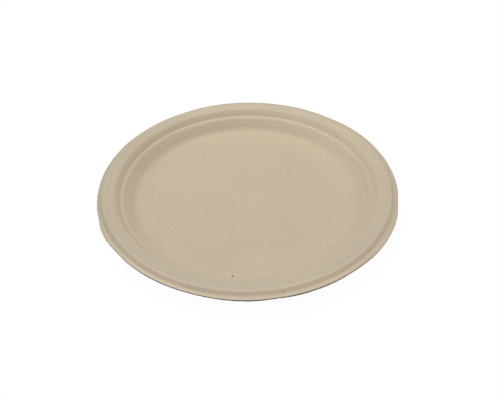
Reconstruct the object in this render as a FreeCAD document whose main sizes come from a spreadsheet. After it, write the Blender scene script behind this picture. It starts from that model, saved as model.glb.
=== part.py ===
import FreeCAD, Part
import Sketcher
import math
import os

# Round shallow plate, moulded in one piece from plant fibre pulp, at its real size in millimetres.
# The floor stands on z = 0 and the plate is centred on the Z axis.
# From the floor outwards the wall runs: lower slope, ledge, upper slope, rim, outward slope, lip.
# Widths are taken across, rises and falls along Z, all on the upper face.

# Driving sizes: name, value in millimetres, what it sets.
DRIVING_SIZES = [
    ("plate_diameter", 228.6, "across the cut edge"),
    ("wall", 0.7, "thickness of the pressed fibre"),
    ("lip_width", 2.7, "narrow lip outside the rolled rim"),
    ("lip_rise", 0.1, "lip turns up a little to its cut edge"),
    ("outward_slope_width", 3.0, "from the rim down to the lip"),
    ("outward_slope_fall", 2.4, "height of the rim above the lip"),
    ("rim_width", 8.55, "broad top of the rim"),
    ("rim_rise", 1.1, "rim climbs a little outwards"),
    ("upper_slope_width", 3.45, "from the ledge up to the rim"),
    ("upper_slope_rise", 4.4, "height of the rim above the ledge"),
    ("ledge_width", 2.7, "narrow sloping ledge between the two slopes"),
    ("ledge_rise", 0.5, "height gained over the ledge"),
    ("lower_slope_width", 8.5, "from the floor up to the ledge"),
    ("lower_slope_rise", 7.8, "height of the ledge above the floor"),
    ("floor_bend", 8.0, "inside radius, floor into lower slope"),
    ("ledge_bend", 1.8, "inside radius, lower slope over into the ledge"),
    ("root_bend", 0.6, "inside radius, ledge into upper slope"),
    ("rim_bend", 2.2, "inside radius, upper slope over into the rim"),
    ("crest_bend", 0.5, "inside radius, rim over into the outward slope"),
    ("lip_bend", 0.5, "inside radius, outward slope into the lip"),
]

# Stretches of the section from the floor outwards: width, height gained, whether it climbs, next bend.
STRETCHES = [
    ("lower_slope_width", "lower_slope_rise", 1, "ledge_bend"),
    ("ledge_width", "ledge_rise", 1, "root_bend"),
    ("upper_slope_width", "upper_slope_rise", 1, "rim_bend"),
    ("rim_width", "rim_rise", 1, "crest_bend"),
    ("outward_slope_width", "outward_slope_fall", -1, "lip_bend"),
    ("lip_width", "lip_rise", 1, None),
]


def make_sheet(document):
    """Sheet with one row per driving size: its name, its value and a note."""
    sheet = document.addObject("Spreadsheet::Sheet", "Sizes")
    for row, (name, value, note) in enumerate(DRIVING_SIZES, start=1):
        sheet.set("A%d" % row, name)
        sheet.set("B%d" % row, str(value))
        sheet.set("C%d" % row, note)
        sheet.setAlias("B%d" % row, name)
    document.recompute()
    return sheet


def origin_plane(body, role):
    """One of the body's own origin planes, found by its role."""
    for feature in body.Origin.OriginFeatures:
        if feature.Role == role:
            return feature
    raise RuntimeError("no origin plane " + role)


def upper_corners(sheet):
    """Sharp corners of the upper face from the floor's edge to the lip's cut edge."""
    floor_radius = sheet.plate_diameter / 2
    for width, _, _, _ in STRETCHES:
        floor_radius -= getattr(sheet, width)
    corners = [FreeCAD.Vector(floor_radius, sheet.wall, 0)]
    for width, height, sign, _ in STRETCHES:
        step = FreeCAD.Vector(getattr(sheet, width), sign * getattr(sheet, height), 0)
        corners.append(corners[-1] + step)
    return corners


def directions(points):
    """Unit direction of each stretch between neighbouring points."""
    steps = [after - before for before, after in zip(points, points[1:])]
    return [step / step.Length for step in steps]


def turn_angle(before, after):
    """Signed turn from one direction to the next, positive where the section bends upwards."""
    return math.atan2(before.x * after.y - before.y * after.x, before.dot(after))


def below(direction):
    """Unit normal of a stretch that points through the wall to the underside."""
    return FreeCAD.Vector(direction.y, -direction.x, 0)


def under_corners(points, wall):
    """Corners of the underside, each stretch lying one wall below the upper one."""
    along = directions(points)
    shifted = []
    for corner, before, after in zip(points[1:-1], along, along[1:]):
        first = below(before)
        second = below(after)
        shifted.append(corner + (first + second) * (wall / (1 + first.dot(second))))
    last = points[-1] + below(along[-1]) * wall
    last = last + along[-1] * ((points[-1].x - last.x) / along[-1].x)
    return shifted + [last]


def add_face(sketch, start, corners, radii):
    """Straight stretches joined by tangent arcs, one face of the wall from the axis outwards."""
    points = [start] + corners
    along = directions(points)
    lines = []
    arcs = []
    here = start
    for number, corner in enumerate(corners):
        if corner is corners[-1]:
            lines.append(sketch.addGeometry(Part.LineSegment(here, corner), False))
            break
        turn = turn_angle(along[number], along[number + 1])
        radius = radii[number]
        reach = radius * math.tan(abs(turn) / 2)
        bend_start = corner - along[number] * reach
        bend_end = corner + along[number + 1] * reach
        side = -math.copysign(radius, turn)
        centre = bend_start + below(along[number]) * side
        lines.append(sketch.addGeometry(Part.LineSegment(here, bend_start), False))
        circle = Part.Circle(centre, FreeCAD.Vector(0, 0, 1), radius)
        ends = [bend_start, bend_end] if turn > 0 else [bend_end, bend_start]
        angles = [math.atan2(end.y - centre.y, end.x - centre.x) for end in ends]
        arcs.append(sketch.addGeometry(Part.ArcOfCircle(circle, angles[0], angles[1]), False))
        here = bend_end
    for number, arc in enumerate(arcs):
        upwards = turn_angle(along[number], along[number + 1]) > 0
        first, second = (1, 2) if upwards else (2, 1)
        sketch.addConstraint(Sketcher.Constraint("Tangent", lines[number], 2, arc, first))
        sketch.addConstraint(Sketcher.Constraint("Tangent", arc, second, lines[number + 1], 1))
    return lines, arcs


def bind(sketch, name, constraint, expression):
    """Adds a named constraint whose value comes from the sheet."""
    index = sketch.addConstraint(constraint)
    sketch.renameConstraint(index, name)
    sketch.setExpression("Constraints." + name, expression)


def draw_section(sketch, sheet):
    """Half section of the plate: upper face, underside, cut edge and the stretch on the axis."""
    corners = upper_corners(sheet)
    top_start = FreeCAD.Vector(0, sheet.wall, 0)
    along = directions([top_start] + corners)
    turns = [turn_angle(before, after) for before, after in zip(along, along[1:])]
    bends = ["floor_bend"] + [bend for _, _, _, bend in STRETCHES if bend]
    top_radii = []
    under_radii = []
    for turn, bend in zip(turns, bends):
        inside = getattr(sheet, bend)
        top_radii.append(inside if turn > 0 else inside + sheet.wall)
        under_radii.append(inside + sheet.wall if turn > 0 else inside)

    top_lines, top_arcs = add_face(sketch, top_start, corners, top_radii)
    under = under_corners([top_start] + corners, sheet.wall)
    bottom_start = FreeCAD.Vector(0, 0, 0)
    under_lines, under_arcs = add_face(sketch, bottom_start, under, under_radii)
    cut_edge = sketch.addGeometry(Part.LineSegment(corners[-1], under[-1]), False)
    on_axis = sketch.addGeometry(Part.LineSegment(bottom_start, top_start), False)

    # The floor is level, its underside starts at the origin and its upper face on the axis.
    origin = (-1, 1)
    vertical_axis = -2
    constraint = Sketcher.Constraint
    sketch.addConstraint(constraint("Horizontal", top_lines[0]))
    sketch.addConstraint(constraint("PointOnObject", top_lines[0], 1, vertical_axis))
    sketch.addConstraint(constraint("Coincident", under_lines[0], 1, *origin))
    sketch.addConstraint(constraint("Coincident", on_axis, 1, under_lines[0], 1))
    sketch.addConstraint(constraint("Coincident", on_axis, 2, top_lines[0], 1))
    sketch.addConstraint(constraint("Vertical", cut_edge))
    sketch.addConstraint(constraint("Coincident", cut_edge, 1, top_lines[-1], 2))
    sketch.addConstraint(constraint("Coincident", cut_edge, 2, under_lines[-1], 2))

    # The underside keeps one wall below the upper face: parallel stretches, shared bend centres.
    for top_line, under_line in zip(top_lines, under_lines):
        sketch.addConstraint(constraint("Parallel", top_line, under_line))
    for top_arc, under_arc in zip(top_arcs, under_arcs):
        sketch.addConstraint(constraint("Coincident", top_arc, 3, under_arc, 3))

    # Sharp corners of the upper face carry the widths and heights.
    marks = []
    for number, corner in enumerate(corners[:-1]):
        mark = sketch.addGeometry(Part.Point(corner), True)
        sketch.addConstraint(constraint("PointOnObject", mark, 1, top_lines[number]))
        sketch.addConstraint(constraint("PointOnObject", mark, 1, top_lines[number + 1]))
        marks.append((mark, 1))
    marks.append((top_lines[-1], 2))
    bind(sketch, "wall", constraint("DistanceY", *origin, *marks[0], corners[0].y), "Sizes.wall")
    reach = constraint("DistanceX", *origin, *marks[-1], corners[-1].x)
    bind(sketch, "plate_radius", reach, "Sizes.plate_diameter / 2")
    for number, (width, height, sign, _) in enumerate(STRETCHES):
        ends = marks[number:number + 2]
        across = constraint("DistanceX", *ends[0], *ends[1], getattr(sheet, width))
        bind(sketch, width, across, "Sizes." + width)
        lower, upper = ends if sign > 0 else reversed(ends)
        upright = constraint("DistanceY", *lower, *upper, getattr(sheet, height))
        bind(sketch, height, upright, "Sizes." + height)

    # Inside radius of each bend, one wall more on the upper face where the wall bends over.
    for turn, bend, arc, radius in zip(turns, bends, top_arcs, top_radii):
        expression = "Sizes." + bend if turn > 0 else "Sizes.%s + Sizes.wall" % bend
        bind(sketch, bend, constraint("Radius", arc, radius), expression)


def make_plate(document, sheet):
    """The moulded plate: one half section turned once about the Z axis."""
    plate = document.addObject("PartDesign::Body", "Plate")
    plate.Label = "plate"
    section = plate.newObject("Sketcher::SketchObject", "Section")
    section.AttachmentSupport = (origin_plane(plate, "XZ_Plane"), [""])
    section.MapMode = "FlatFace"
    draw_section(section, sheet)
    turned = plate.newObject("PartDesign::Revolution", "Turned")
    turned.Profile = section
    turned.ReferenceAxis = (section, ["V_Axis"])
    turned.Angle = 360
    plate.Tip = turned
    plate.Placement = FreeCAD.Placement()
    document.recompute()
    if not section.FullyConstrained:
        raise RuntimeError("the section is not fully constrained")
    return plate


def check(document, pieces):
    """Stops the build where an object failed or a piece has no sound shape."""
    for thing in document.Objects:
        if "Invalid" in thing.State or "Error" in thing.State:
            raise RuntimeError("%s failed: %s" % (thing.Label, thing.State))
    for piece in pieces:
        if piece.Shape.isNull() or not piece.Shape.isValid():
            raise RuntimeError("%s has no sound shape" % piece.Label)


document = FreeCAD.newDocument("FibrePlate")
sheet = make_sheet(document)
plate = make_plate(document, sheet)
document.recompute()
check(document, [plate])

os.makedirs("parts", exist_ok=True)
plate.Shape.exportStep(os.path.join("parts", plate.Label + ".step"))
bounds = plate.Shape.optimalBoundingBox(True, False)
print("plate: %.1f mm across, %.2f mm high, %.2f cm3 of fibre"
      % (bounds.XLength, bounds.ZLength, plate.Shape.Volume / 1000))
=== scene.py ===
# Round shallow plate pressed from unbleached plant fibre, lying on a white table.
# The dictionaries hold sizes in millimetres; mm turns them into metres where they are used.
# Angles are in degrees, and azimuths count from the right of the photo: 90 is the far side, 270 the near one.
import math
import bmesh
import bpy
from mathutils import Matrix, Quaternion, Vector


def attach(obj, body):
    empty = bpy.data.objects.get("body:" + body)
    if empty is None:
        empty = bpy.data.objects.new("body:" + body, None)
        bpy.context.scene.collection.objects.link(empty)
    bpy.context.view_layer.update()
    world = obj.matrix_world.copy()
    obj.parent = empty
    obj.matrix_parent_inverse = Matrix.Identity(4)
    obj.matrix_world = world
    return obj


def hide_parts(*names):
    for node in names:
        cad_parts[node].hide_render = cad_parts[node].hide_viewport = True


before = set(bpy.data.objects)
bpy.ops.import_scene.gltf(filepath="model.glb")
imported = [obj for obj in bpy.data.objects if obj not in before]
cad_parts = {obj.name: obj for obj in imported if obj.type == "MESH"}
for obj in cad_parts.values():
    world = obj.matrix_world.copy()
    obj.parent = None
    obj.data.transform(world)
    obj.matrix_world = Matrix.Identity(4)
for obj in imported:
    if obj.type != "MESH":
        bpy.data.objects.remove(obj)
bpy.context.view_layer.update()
mm = 0.001
samePlace = 0.001 * mm       # points closer than this are one


class Value:
    # One output of a node. Adding or multiplying it adds the Math node that does so.
    def __init__(self, finish, socket):
        self.finish = finish
        self.socket = socket

    def worked(self, operation, first, second):
        return self.finish.node("ShaderNodeMath", {"operation": operation}, {0: first, 1: second})

    def __add__(self, other):
        return self.worked("ADD", self, other)

    def __sub__(self, other):
        return self.worked("SUBTRACT", self, other)

    def __rsub__(self, other):
        return self.worked("SUBTRACT", other, self)

    def __mul__(self, other):
        return self.worked("MULTIPLY", self, other)

    def __truediv__(self, other):
        return self.worked("DIVIDE", self, other)

    def __pow__(self, other):
        return self.worked("POWER", self, other)

    __radd__ = __add__
    __rmul__ = __mul__


class Finish:
    # The nodes that a material or the world is made of.
    def __init__(self, owner):
        self.owner = owner
        owner.use_nodes = True
        self.tree = owner.node_tree
        self.tree.nodes.clear()

    def node(self, kind, settings, sockets, output=0):
        made = self.tree.nodes.new(kind)
        for name, setting in settings.items():
            setattr(made, name, setting)
        for name, given in sockets.items():
            if isinstance(given, Value):
                self.tree.links.new(given.socket, made.inputs[name])
            else:
                made.inputs[name].default_value = given
        return Value(self, made.outputs[output] if made.outputs else None)

    def position(self):
        return self.node("ShaderNodeTexCoord", {}, {}, "Object")

    def placed(self, position, shift=(0, 0, 0), turn=0.0, stretch=(1, 1, 1)):
        return self.node("ShaderNodeMapping", {"vector_type": "TEXTURE"}, {
            "Vector": position, "Location": shift, "Rotation": (0, 0, turn), "Scale": stretch})

    def noise(self, position, size, detail, roughness=0.5):
        return self.node("ShaderNodeTexNoise", {}, {
            "Vector": position, "Scale": 1 / size, "Detail": detail, "Roughness": roughness})

    def rise(self, value, low, high, start=0.0, end=1.0):
        return self.node("ShaderNodeMapRange", {"interpolation_type": "SMOOTHSTEP"}, {
            "Value": value, "From Min": low, "From Max": high, "To Min": start, "To Max": end})

    def blend(self, factor, first, second):
        return self.node("ShaderNodeMix", {"data_type": "RGBA"}, {0: factor, 6: first, 7: second}, 2)

    def close(self, shader, kind="ShaderNodeOutputMaterial"):
        self.node(kind, {}, {"Surface": shader})
        return self.owner


plateShape = {
    "radius": 113.95,        # out to the cut edge, a little inside the solid so that the edge can wander
    "wall": 0.7,
    # from the floor outwards: width and height gained on the upper face, upper radius of the bend before it
    "stretches": (
        (8.5, 7.8, 8.0),     # lower slope
        (2.7, 0.5, 2.5),     # ledge
        (3.45, 4.4, 0.6),    # upper slope
        (8.95, 1.1, 2.9),    # broad rim
        (2.35, -2.4, 0.85),  # outward slope
        (2.6, 0.1, 0.5),     # lip
    ),
    "roundSteps": 720,
    "floorSpacing": 9.0,     # between rings on the floor
    "wallSpacing": 1.25,     # between rings on the wall
    "bendSpacing": 0.5,      # between rings in a bend
    "smoothAngle": 50,       # faces that meet at more degrees than this keep a hard line

    # how pressing, trimming and drying left this one plate
    "ringShift": (-0.81, 0.30),  # the rings lie this far off the middle of the trimmed edge
    # pulls on the lip: azimuth, spread, how far out, how far up
    "pulls": (
        (357, 38, -0.50, 0.0), (52, 16, -0.30, 0.0), (97, 38, 0.15, 0.40), (158, 48, -0.50, 0.0),
        (210, 15, 1.05, 0.0), (226, 20, 0.35, 0.0), (278, 60, 0.12, -0.62), (322, 30, 0.60, 0.0),
        (48, 9, -0.30, 0.0), (64, 10, 0.20, 0.0), (90, 9, -0.30, 0.0), (118, 12, -0.30, 0.0),
        (154, 7, 0.30, 0.0), (184, 16, -0.20, 0.0), (201, 6, -0.35, 0.0), (218, 7, -0.30, 0.0),
        (252, 15, -0.30, 0.0), (268, 7, 0.12, 0.0), (278, 7, -0.45, 0.0), (307, 11, -0.35, 0.0),
        (334, 7, 0.20, 0.0), (346, 8, -0.60, 0.0),
    ),
    "evenEdge": 0.6,         # outermost stretch of the lip, which a pull moves as one
    "waveBand": (88.0, 100.0),  # radii over which the waves and the uneven pulp grow to their full depth
    "waveSize": 26.0,        # slow waves that the wall dries into
    "waveDetail": 1,
    "waveDepth": 0.12,
    "pulpSize": 5.0,         # thick and thin spots of pulp
    "pulpDetail": 2,
    "pulpDepth": 0.05,
    "edgeSoftness": 0.30,    # rounding of the cut edge
    "edgeSegments": 3,
    "edgeAngle": 60,         # edges that fold by more degrees than this are rounded
    "tearBand": (1.2, 0.3),  # the tears start this far in from the edge, and are full this far in
    "tearSize": 1.7,         # fibres torn out and left standing along the cut edge
    "tearDetail": 1,
    "tearDepth": 0.3,
}


def selectByPlace(solid, wanted):
    # selects the vertices that the test picks, and the edges and faces between them
    mesh = bmesh.from_edit_mesh(solid.data)
    bpy.ops.mesh.select_all(action="DESELECT")
    for vertex in mesh.verts:
        vertex.select = wanted(vertex.co)
    mesh.select_flush_mode()
    bmesh.update_edit_mesh(solid.data)


def drawSection(shape):
    # the upper face's half section, from the axis out to the cut edge
    bpy.ops.object.select_all(action="DESELECT")
    bpy.ops.mesh.primitive_plane_add(size=mm, location=(0, 0, 0))
    section = bpy.context.object
    bpy.ops.object.mode_set(mode="EDIT")
    bpy.ops.mesh.select_all(action="SELECT")
    bpy.ops.mesh.merge(type="CENTER")
    bpy.ops.transform.translate(value=(0, 0, shape["wall"] * mm))
    floorRadius = shape["radius"] - sum(width for width, height, bend in shape["stretches"])
    corners = [Vector((0, 0, shape["wall"])), Vector((floorRadius, 0, shape["wall"]))]
    for width, height, bend in shape["stretches"]:
        corners.append(corners[-1] + Vector((width, 0, height)))
    for before, after in zip(corners, corners[1:]):
        bpy.ops.mesh.extrude_region_move(TRANSFORM_OT_translate={"value": (after - before) * mm})
    for number, (width, height, bend) in enumerate(shape["stretches"], start=1):
        corner = corners[number]
        turn = (corner - corners[number - 1]).angle(corners[number + 1] - corner)
        reach = bend * math.tan(turn / 2)
        edges = max(2, round(bend * turn / shape["bendSpacing"]))  # at least two, for a round bend
        selectByPlace(section, lambda place: (place - corner * mm).length < samePlace)
        bpy.ops.mesh.bevel(offset=reach * mm, segments=edges, affect="VERTICES")
    return section


def spaceRings(section, shape):
    # shares the long straight edges out, so that the rings lie close enough for the wear
    mesh = bmesh.from_edit_mesh(section.data)
    spans = [(edge.verts[0].co.copy(), edge.verts[1].co.copy()) for edge in mesh.edges]
    for start, end in spans:
        onFloor = min(start.x, end.x) < samePlace
        spacing = shape["floorSpacing"] if onFloor else shape["wallSpacing"]
        cuts = math.ceil((end - start).length / (spacing * mm)) - 1
        if cuts > 0:
            ends = (start, end)
            selectByPlace(section, lambda place: any((place - tip).length < samePlace for tip in ends))
            bpy.ops.mesh.subdivide(number_cuts=cuts)


def spinSection(section, shape):
    # turns the section once about the plate's axis into one closed sheet, facing up
    bpy.ops.mesh.select_all(action="SELECT")
    bpy.ops.mesh.spin(steps=shape["roundSteps"], angle=math.tau, center=(0, 0, 0), axis=(0, 0, 1))
    bpy.ops.mesh.select_all(action="SELECT")
    bpy.ops.mesh.remove_doubles(threshold=samePlace)
    bpy.ops.mesh.normals_make_consistent(inside=False)
    mesh = bmesh.from_edit_mesh(section.data)
    floorFace = min(mesh.faces, key=lambda face: face.calc_center_median().xy.length)
    if floorFace.normal.z < 0:
        bpy.ops.mesh.flip_normals()


def addModifier(solid, kind, settings):
    modifier = solid.modifiers.new(kind.title(), kind)
    for name, setting in settings.items():
        setattr(modifier, name, setting)
    bpy.ops.object.modifier_apply(modifier=modifier.name)


def clouds(name, size, depth):
    texture = bpy.data.textures.new(name, "CLOUDS")
    texture.noise_scale = size * mm
    texture.noise_depth = depth
    return texture


def ramp(value, low, high):
    return min(max((value - low) / (high - low), 0.0), 1.0)


def hump(azimuth, middle, spread):
    # 1 at the middle azimuth, falling to 0 one spread away on either side
    away = abs((azimuth - middle + 180) % 360 - 180)
    return math.cos(math.pi / 2 * min(away / spread, 1.0)) ** 2


def weigh(solid, name, share):
    # a vertex group; share gives each vertex's part of it from radius and azimuth
    group = solid.vertex_groups.new(name=name)
    shares = {}
    for vertex in solid.data.vertices:
        azimuth = math.degrees(math.atan2(vertex.co.y, vertex.co.x))
        part = round(share(vertex.co.xy.length / mm, azimuth), 2)
        shares.setdefault(part, []).append(vertex.index)
    for part, indices in shares.items():
        if part > 0:
            group.add(indices, part, "REPLACE")


def push(solid, move, group=""):
    # moves the vertices of a group along x, y and z
    for direction, distance in zip("XYZ", move):
        if distance:
            addModifier(solid, "DISPLACE", {
                "direction": direction, "mid_level": 0.0, "strength": distance * mm, "vertex_group": group})


def makePlate(shape, finishes):
    solid = drawSection(shape)
    spaceRings(solid, shape)
    spinSection(solid, shape)
    bpy.ops.object.mode_set(mode="OBJECT")
    print("plate spun: %d faces on its upper side" % len(solid.data.polygons))
    for name, look in finishes:
        solid.data.materials.append(pulp(name, look))

    rim = shape["radius"]
    lipRoot = rim - shape["stretches"][-1][0]
    lipFull = rim - shape["evenEdge"]
    tearStart, tearFull = (rim - inwards for inwards in shape["tearBand"])
    weigh(solid, "wall", lambda radius, azimuth: ramp(radius, *shape["waveBand"]))
    weigh(solid, "lip", lambda radius, azimuth: ramp(radius, lipRoot, lipFull))
    weigh(solid, "edge", lambda radius, azimuth: ramp(radius, tearStart, tearFull))
    for number, (middle, spread, out, up) in enumerate(shape["pulls"], start=1):
        weigh(solid, "pull%d" % number,
              lambda radius, azimuth: ramp(radius, lipRoot, lipFull) * hump(azimuth, middle, spread))

    # the whole plate moves aside and the lip moves back, so that only the rings end up off the middle
    shiftX, shiftY = shape["ringShift"]
    push(solid, (shiftX, shiftY))
    push(solid, (-shiftX, -shiftY), "lip")
    for number, (middle, spread, out, up) in enumerate(shape["pulls"], start=1):
        turn = math.radians(middle)
        push(solid, (out * math.cos(turn), out * math.sin(turn), up), "pull%d" % number)

    # the waves only sink the wall, so it stays within the solid's height
    for name in ("wave", "pulp"):
        addModifier(solid, "DISPLACE", {
            "texture": clouds(name, shape[name + "Size"], shape[name + "Detail"]),
            "texture_coords": "LOCAL", "direction": "Z", "mid_level": 1.0,
            "strength": shape[name + "Depth"] * mm, "vertex_group": "wall"})
    addModifier(solid, "SOLIDIFY", {
        "thickness": shape["wall"] * mm, "offset": -1.0, "use_even_offset": True,
        "material_offset": 1, "material_offset_rim": 2})
    addModifier(solid, "BEVEL", {
        "width": shape["edgeSoftness"] * mm, "segments": shape["edgeSegments"],
        "limit_method": "ANGLE", "angle_limit": math.radians(shape["edgeAngle"]), "material": 2})
    tears = clouds("tears", shape["tearSize"], shape["tearDetail"])
    tears.cloud_type = "COLOR"
    addModifier(solid, "DISPLACE", {
        "texture": tears, "texture_coords": "LOCAL", "direction": "RGB_TO_XYZ", "mid_level": 0.5,
        "strength": shape["tearDepth"] * mm, "vertex_group": "edge"})
    return solid


# what the three looks share
pulpMakeup = {
    "clumpRoughness": 0.6,
    "fibreBand": (0.60, 0.72),   # part of the drawn-out noise that shows as fibres
    "spotFade": (1.3, 0.5),      # a fleck at a set place fades in between these shares of its size
    "chanceRarity": 7,           # the higher, the more of the chance flecks are tiny
    "chanceFull": 0.4,           # share of its radius within which a chance fleck is full
    "chanceRaggedness": 0.03,
    # what a field of full strength multiplies the colour by
    "tints": (("paintedWarmShade", (1.0, 0.962, 0.950)), ("coolness", (1.0, 0.997, 1.035))),
    "bumpStrength": 0.6,
    "mottleBand": (0.3, 0.7),    # part of the mottle over which the roughness changes
}

upperLook = {
    "pale": (0.643, 0.547, 0.389, 1),
    "deep": (0.429, 0.365, 0.260, 1),
    "fleck": (0.085, 0.050, 0.028, 1),
    "speck": (0.680, 0.610, 0.480, 1),
    # clumps of pulp: size, detail, strength
    "clumps": ((38.0, 2.0, 0.18), (3.2, 3.0, 0.26), (0.9, 2.0, 0.36)),
    # fibres in the surface: turn, length, width, strength
    "fibres": (
        (12, 5.0, 0.28, 0.17), (71, 4.0, 0.24, -0.17), (128, 6.0, 0.30, 0.15), (160, 3.5, 0.22, -0.15),
    ),
    "chanceSpacing": 11.0,   # flecks scattered by chance, at most one to a cell
    "chanceRadius": 0.55,
    # flecks at set places: x, y, half length, half width, turn, how dark
    "flecks": (
        (-10.8, -88.8, 2.3, 0.70, 88, 1.9), (-42.0, -69.2, 0.6, 0.4, 60, 0.35),
        (-35.2, -89.6, 0.6, 0.4, 10, 0.30), (28.2, 17.2, 0.5, 0.4, 0, 0.30),
        (23.8, -0.7, 0.5, 0.35, 40, 0.25), (0.1, 19.7, 0.5, 0.35, 110, 0.22),
        (64.4, 76.2, 0.6, 0.4, 20, 0.30), (20.5, -108.1, 0.6, 0.4, 0, 0.35),
        (25.7, -36.3, 0.45, 0.35, 0, 0.22), (4.3, -61.6, 0.45, 0.35, 0, 0.22),
        (57.3, -88.1, 0.5, 0.35, 30, 0.25), (47.0, -93.6, 0.5, 0.35, 0, 0.22),
        (96.0, 39.0, 3.2, 0.30, 12, 0.40),
    ),
    "specks": ((-34.5, 9.5, 0.6, 0.45, 0, 0.45),),  # pale ones, given the same way
    # painted light and shade: fields made paler or deeper where lamp, bounced light and shadow fall;
    # azimuth, spread, inner and outer radius, softness, how much;
    # an outer radius of 130 takes in everything out to the cut edge
    "paintedShading": (
        # floor and lower slope
        (310, 75, 68.0, 83.0, 6.0, 0.030),
        (68, 85, 69.0, 130.0, 10.0, 0.075),
        (340, 60, 84.0, 89.5, 1.2, -0.028),
        (92, 65, 85.4, 89.2, 1.2, -0.050),
        (240, 40, 85.5, 93.5, 1.0, 0.030),
        (330, 90, 90.0, 130.0, 4.0, -0.022),
        (345, 50, 91.0, 96.0, 0.8, -0.035),
        (90, 60, 92.5, 93.7, 0.3, 0.060),
        # ledge and upper slope
        (185, 75, 93.2, 94.8, 0.4, -0.060),
        (195, 100, 93.8, 130.0, 0.8, -0.035),
        (95, 90, 94.0, 96.4, 0.6, 0.050),
        (75, 60, 96.6, 97.6, 0.3, -0.040),
        (130, 130, 97.2, 99.4, 0.8, 0.090),
        # rim
        (0, 180, 100.6, 109.0, 0.8, -0.022),
        (265, 110, 107.6, 108.6, 0.4, 0.030),
        # crest and outward slope
        # painted highlight on the near crest
        (270, 60, 108.3, 109.4, 0.2, 0.140),
        (80, 45, 108.3, 112.0, 0.5, -0.080),
        (180, 60, 108.9, 112.5, 0.5, -0.100),
        (305, 60, 109.5, 111.0, 0.3, 0.090),
        (235, 30, 110.7, 111.8, 0.4, 0.060),
        # lip
        (265, 75, 111.1, 130.0, 0.15, 0.125),
        (10, 60, 111.4, 113.6, 0.3, -0.060),
        (90, 75, 111.4, 130.0, 0.3, -0.160),
        (295, 50, 111.6, 113.6, 0.4, -0.045),
        (270, 60, 111.8, 113.9, 0.4, 0.075),
        # painted shadow along the near cut edge
        (265, 60, 113.75, 130.0, 0.1, -0.600),
    ),
    # painted warm shade: a redder brown on the slopes in shade, for light bounced between them, given the
    # same way
    "paintedWarmShade": (
        (152, 98, 87.0, 93.6, 1.6, 1.0),
        (152, 98, 97.0, 99.6, 0.7, 1.0),
        (270, 100, 109.3, 111.4, 0.5, 0.4),
        (335, 75, 109.2, 111.2, 0.4, 0.5),
    ),
    # fields with more blue, given the same way
    "coolness": ((0, 180, 86.0, 130.0, 12.0, 1.0),),
    "screenPitch": 1.1,      # faint print of the drying screen
    "screenDepth": 0.12,
    "relief": 0.10,
    "roughness": (0.80, 0.94),
    "specular": 0.25,
}

lowerLook = {
    "pale": (0.560, 0.478, 0.342, 1),
    "deep": (0.452, 0.378, 0.262, 1),
    "fleck": (0.095, 0.056, 0.031, 1),
    "clumps": ((30.0, 2.0, 0.55), (4.5, 3.0, 0.75), (1.1, 2.0, 0.85)),
    "fibres": ((35, 6.0, 0.34, 0.40), (95, 4.5, 0.28, -0.40), (150, 5.0, 0.34, 0.35)),
    "chanceSpacing": 10.0,
    "chanceRadius": 0.60,
    "flecks": (),
    "specks": (),
    # painted shade, with a redder painted warm shade, in the bends under the ledge and the crest
    "paintedShading": ((0, 180, 93.5, 95.5, 1.0, -0.06), (0, 180, 108.0, 110.0, 1.0, -0.08)),
    "paintedWarmShade": ((0, 180, 93.5, 95.5, 1.0, 0.6), (0, 180, 108.0, 110.0, 1.0, 0.6)),
    "coolness": (),
    "screenPitch": 1.6,      # the forming screen's wires stand out below
    "screenDepth": 0.75,
    "relief": 0.20,
    "roughness": (0.86, 0.97),
    "specular": 0.20,
}

edgeLook = {
    # painted shade: the cut edge's tones are much darker than the sheet's, for an edge in shade
    "pale": (0.440, 0.365, 0.260, 1),
    "deep": (0.170, 0.120, 0.075, 1),
    "fleck": (0.085, 0.050, 0.028, 1),
    "clumps": ((20.0, 2.0, 0.60), (2.0, 3.0, 0.70), (0.5, 2.0, 0.80)),
    "fibres": (),
    "chanceSpacing": 6.0,
    "chanceRadius": 0.5,
    "flecks": (),
    "specks": (),
    # painted shadow along the near cut edge, which faces away from the lamp
    "paintedShading": ((261, 55, 90.0, 130.0, 1.0, -0.89),),
    "paintedWarmShade": (),
    "coolness": (),
    "screenPitch": 1.1,
    "screenDepth": 0.0,      # no screen touches the cut edge
    "relief": 0.20,
    "roughness": (0.88, 0.97),
    "specular": 0.03,
}


def spots(finish, where, places):
    # sum of soft ellipses at set places
    total = 0.0
    for x, y, long, wide, turn, strength in places:
        inside = finish.placed(where, (x * mm, y * mm, 0), math.radians(turn), (long * mm, wide * mm, 1))
        away = finish.node("ShaderNodeVectorMath", {"operation": "LENGTH"}, {0: inside}, "Value")
        total = finish.rise(away, *pulpMakeup["spotFade"]) * strength + total
    return total


def fields(finish, where, places, total):
    # adds the gain or loss of every field to the total
    shiftX, shiftY = plateShape["ringShift"]
    centred = finish.placed(where, (shiftX * mm, shiftY * mm, 0))
    flat = finish.node("ShaderNodeVectorMath", {"operation": "MULTIPLY"}, {0: centred, 1: (1, 1, 0)})
    radius = finish.node("ShaderNodeVectorMath", {"operation": "LENGTH"}, {0: flat}, "Value")
    for azimuth, spread, inner, outer, soft, amount in places:
        field = finish.rise(radius, (inner - soft) * mm, (inner + soft) * mm)
        field = field * finish.rise(radius, (outer + soft) * mm, (outer - soft) * mm)
        if spread < 180:     # else it goes all the way round
            turn = math.radians(azimuth)
            facing = finish.node("ShaderNodeVectorMath", {"operation": "DOT_PRODUCT"}, {
                0: flat, 1: (math.cos(turn), math.sin(turn), 0)}, "Value") / radius
            field = field * finish.rise(facing, math.cos(math.radians(spread)), 1.0)
        total = field * amount + total
    return total


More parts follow.
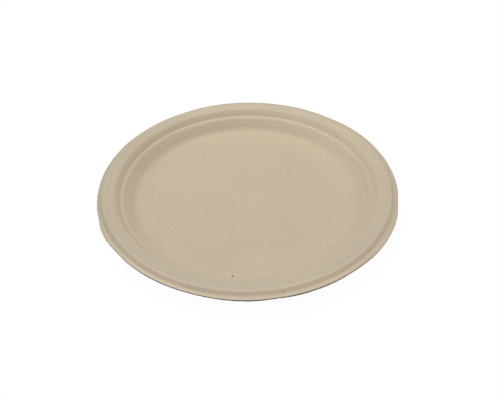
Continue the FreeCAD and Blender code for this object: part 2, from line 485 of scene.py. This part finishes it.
def chanceFlecks(finish, where, grain, look):
    # small flecks, most of them tiny, with ragged outlines
    cells = finish.node("ShaderNodeTexVoronoi", {"voronoi_dimensions": "2D"}, {
        "Vector": where, "Scale": 1 / (look["chanceSpacing"] * mm)})
    colour = Value(finish, cells.socket.node.outputs["Color"])
    chance = finish.node("ShaderNodeSeparateColor", {}, {"Color": colour})
    size = chance ** pulpMakeup["chanceRarity"] * (look["chanceRadius"] / look["chanceSpacing"])
    ragged = cells + (grain - 0.5) * pulpMakeup["chanceRaggedness"]
    return finish.rise(ragged, size, size * pulpMakeup["chanceFull"])


def screenPrint(finish, where, pitch):
    # hollows of a woven screen, between 0 and 1
    axes = finish.node("ShaderNodeSeparateXYZ", {}, {"Vector": where})
    along = axes.socket.node.outputs
    waves = [finish.node("ShaderNodeMath", {"operation": "SINE"}, {
        0: Value(finish, along[axis]) * (math.tau / (pitch * mm))}) for axis in "XY"]
    return waves[0] * waves[1] * 0.5 + 0.5


def pulp(name, look):
    finish = Finish(bpy.data.materials.new(name))
    where = finish.position()

    # clumps and fibres set the tone between deep and pale
    tone = 0.5
    layers = []
    for size, detail, strength in look["clumps"]:
        layers.append(finish.noise(where, size * mm, detail, pulpMakeup["clumpRoughness"]))
        tone = (layers[-1] - 0.5) * strength + tone
    mottle, grain = layers[-2:]
    for turn, length, width, strength in look["fibres"]:
        drawn = finish.placed(where, (0, 0, 0), math.radians(turn), (length * mm, width * mm, width * mm))
        fibre = finish.noise(drawn, 1.0, 1.0)
        tone = finish.rise(fibre, *pulpMakeup["fibreBand"]) * strength + tone
    colour = finish.blend(tone, look["deep"], look["pale"])

    colour = finish.blend(chanceFlecks(finish, where, grain, look), colour, look["fleck"])
    for kind in ("fleck", "speck"):
        if look[kind + "s"]:
            colour = finish.blend(spots(finish, where, look[kind + "s"]), colour, look[kind])

    # the tints: painted warm shade on slopes in shade, and a bluer tint further out
    for kind, tint in pulpMakeup["tints"]:
        if look[kind]:
            tinted = finish.node("ShaderNodeVectorMath", {"operation": "MULTIPLY"}, {0: colour, 1: tint})
            colour = finish.blend(fields(finish, where, look[kind], 0.0), colour, tinted)
    # painted light and shade: each field scales the colour paler or deeper
    colour = finish.node("ShaderNodeVectorMath", {"operation": "SCALE"}, {
        0: colour, "Scale": fields(finish, where, look["paintedShading"], 1.0)})

    screen = screenPrint(finish, where, look["screenPitch"])
    relief = mottle * 0.5 + grain * 0.5 + screen * look["screenDepth"]
    bumped = finish.node("ShaderNodeBump", {}, {
        "Strength": pulpMakeup["bumpStrength"], "Distance": look["relief"] * mm, "Height": relief})
    rough = finish.rise(mottle, *pulpMakeup["mottleBand"], *look["roughness"])
    shader = finish.node("ShaderNodeBsdfPrincipled", {}, {
        "Base Color": colour, "Roughness": rough, "Specular IOR Level": look["specular"],
        "Normal": bumped})
    return finish.close(shader)


plate = makePlate(plateShape, (
    ("pressedFibre", upperLook), ("screenedFibre", lowerLook), ("cutEdge", edgeLook)))
plate.name = "pressedPlate"
plate.data.name = "pressedPlate"
bpy.ops.object.select_all(action="DESELECT")
plate.select_set(True)
bpy.context.view_layer.objects.active = plate
bpy.ops.object.shade_smooth_by_angle(angle=math.radians(plateShape["smoothAngle"]))
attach(plate, "root")
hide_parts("plate")
print("plate finished")


tableLook = {
    "size": 6000.0,
    "colour": (1.0, 1.0, 1.0, 1),
    "gap": 0.03,             # under the plate, so that the two faces don't share a place
    "ownWhite": 0.97,        # share of plain white that the camera sees, the rest takes the shadow
}

studio = {
    "colour": (1.0, 1.0, 1.0, 1),
    "skyStrength": 0.595,
    "lampPower": 8.65,       # in watts
    "lampSize": 900.0,
    "lampDistance": 1300.0,
    "lampAzimuth": 127.0,
    "lampElevation": 69.0,
}

view = {
    "distance": 409.0,       # from the middle of the floor's upper face
    "elevation": 40.768,
    "roll": -0.917,
    "lens": 37.503,
    "sensor": 36.0,
    "shift": (0.00436, -0.01693),
    "nearest": 10.0,
    "farthest": 20000.0,
}


def seenDirectly(finish):
    # 1 for what the camera, a mirror or glass sees
    path = finish.node("ShaderNodeLightPath", {}, {}, "Is Camera Ray")
    outputs = path.socket.node.outputs
    glossy = Value(finish, outputs["Is Glossy Ray"])
    through = Value(finish, outputs["Is Transmission Ray"])
    either = finish.node("ShaderNodeMath", {"operation": "MAXIMUM"}, {0: glossy, 1: through})
    return finish.node("ShaderNodeMath", {"operation": "MAXIMUM"}, {0: path, 1: either})


def makeTable(look):
    bpy.ops.object.select_all(action="DESELECT")
    bpy.ops.mesh.primitive_plane_add(size=look["size"] * mm, location=(0, 0, -look["gap"] * mm))
    table = bpy.context.object
    table.name = "whiteTable"
    finish = Finish(bpy.data.materials.new("whiteTable"))
    white = finish.node("ShaderNodeEmission", {}, {"Color": look["colour"], "Strength": 1.0})
    matt = finish.node("ShaderNodeBsdfDiffuse", {}, {"Color": look["colour"]})
    share = seenDirectly(finish) * look["ownWhite"]
    mixed = finish.node("ShaderNodeMixShader", {}, {0: share, 1: matt, 2: white})
    table.data.materials.append(finish.close(mixed))


def lightStudio(light):
    finish = Finish(bpy.data.worlds.new("softbox"))
    white = finish.node("ShaderNodeBackground", {}, {"Color": light["colour"], "Strength": 1.0})
    sky = finish.node("ShaderNodeBackground", {}, {
        "Color": light["colour"], "Strength": light["skyStrength"]})
    mixed = finish.node("ShaderNodeMixShader", {}, {0: seenDirectly(finish), 1: sky, 2: white})
    bpy.context.scene.world = finish.close(mixed, "ShaderNodeOutputWorld")
    turn = math.radians(light["lampAzimuth"])
    tilt = math.radians(light["lampElevation"])
    direction = Vector((math.cos(turn) * math.cos(tilt), math.sin(turn) * math.cos(tilt), math.sin(tilt)))
    bpy.ops.object.light_add(type="AREA", location=direction * light["lampDistance"] * mm)
    lamp = bpy.context.object
    lamp.name = "softLamp"
    lamp.rotation_euler = direction.to_track_quat("Z", "Y").to_euler()
    lamp.data.shape = "DISK"
    lamp.data.size = light["lampSize"] * mm
    lamp.data.energy = light["lampPower"]


def placeCamera(eye):
    tilt = math.radians(eye["elevation"])
    back = Vector((0, -math.cos(tilt), math.sin(tilt)))
    target = Vector((0, 0, plateShape["wall"])) * mm
    bpy.ops.object.camera_add(location=target + back * eye["distance"] * mm)
    camera = bpy.context.object
    aim = back.to_track_quat("Z", "Y")
    camera.rotation_euler = (aim @ Quaternion((0, 0, 1), math.radians(eye["roll"]))).to_euler()
    camera.data.lens = eye["lens"]
    camera.data.sensor_width = eye["sensor"]
    camera.data.shift_x, camera.data.shift_y = eye["shift"]
    camera.data.clip_start = eye["nearest"] * mm
    camera.data.clip_end = eye["farthest"] * mm
    bpy.context.scene.camera = camera


makeTable(tableLook)
lightStudio(studio)
placeCamera(view)
bpy.context.scene.view_settings.view_transform = "Standard"
print("table, light and camera placed")
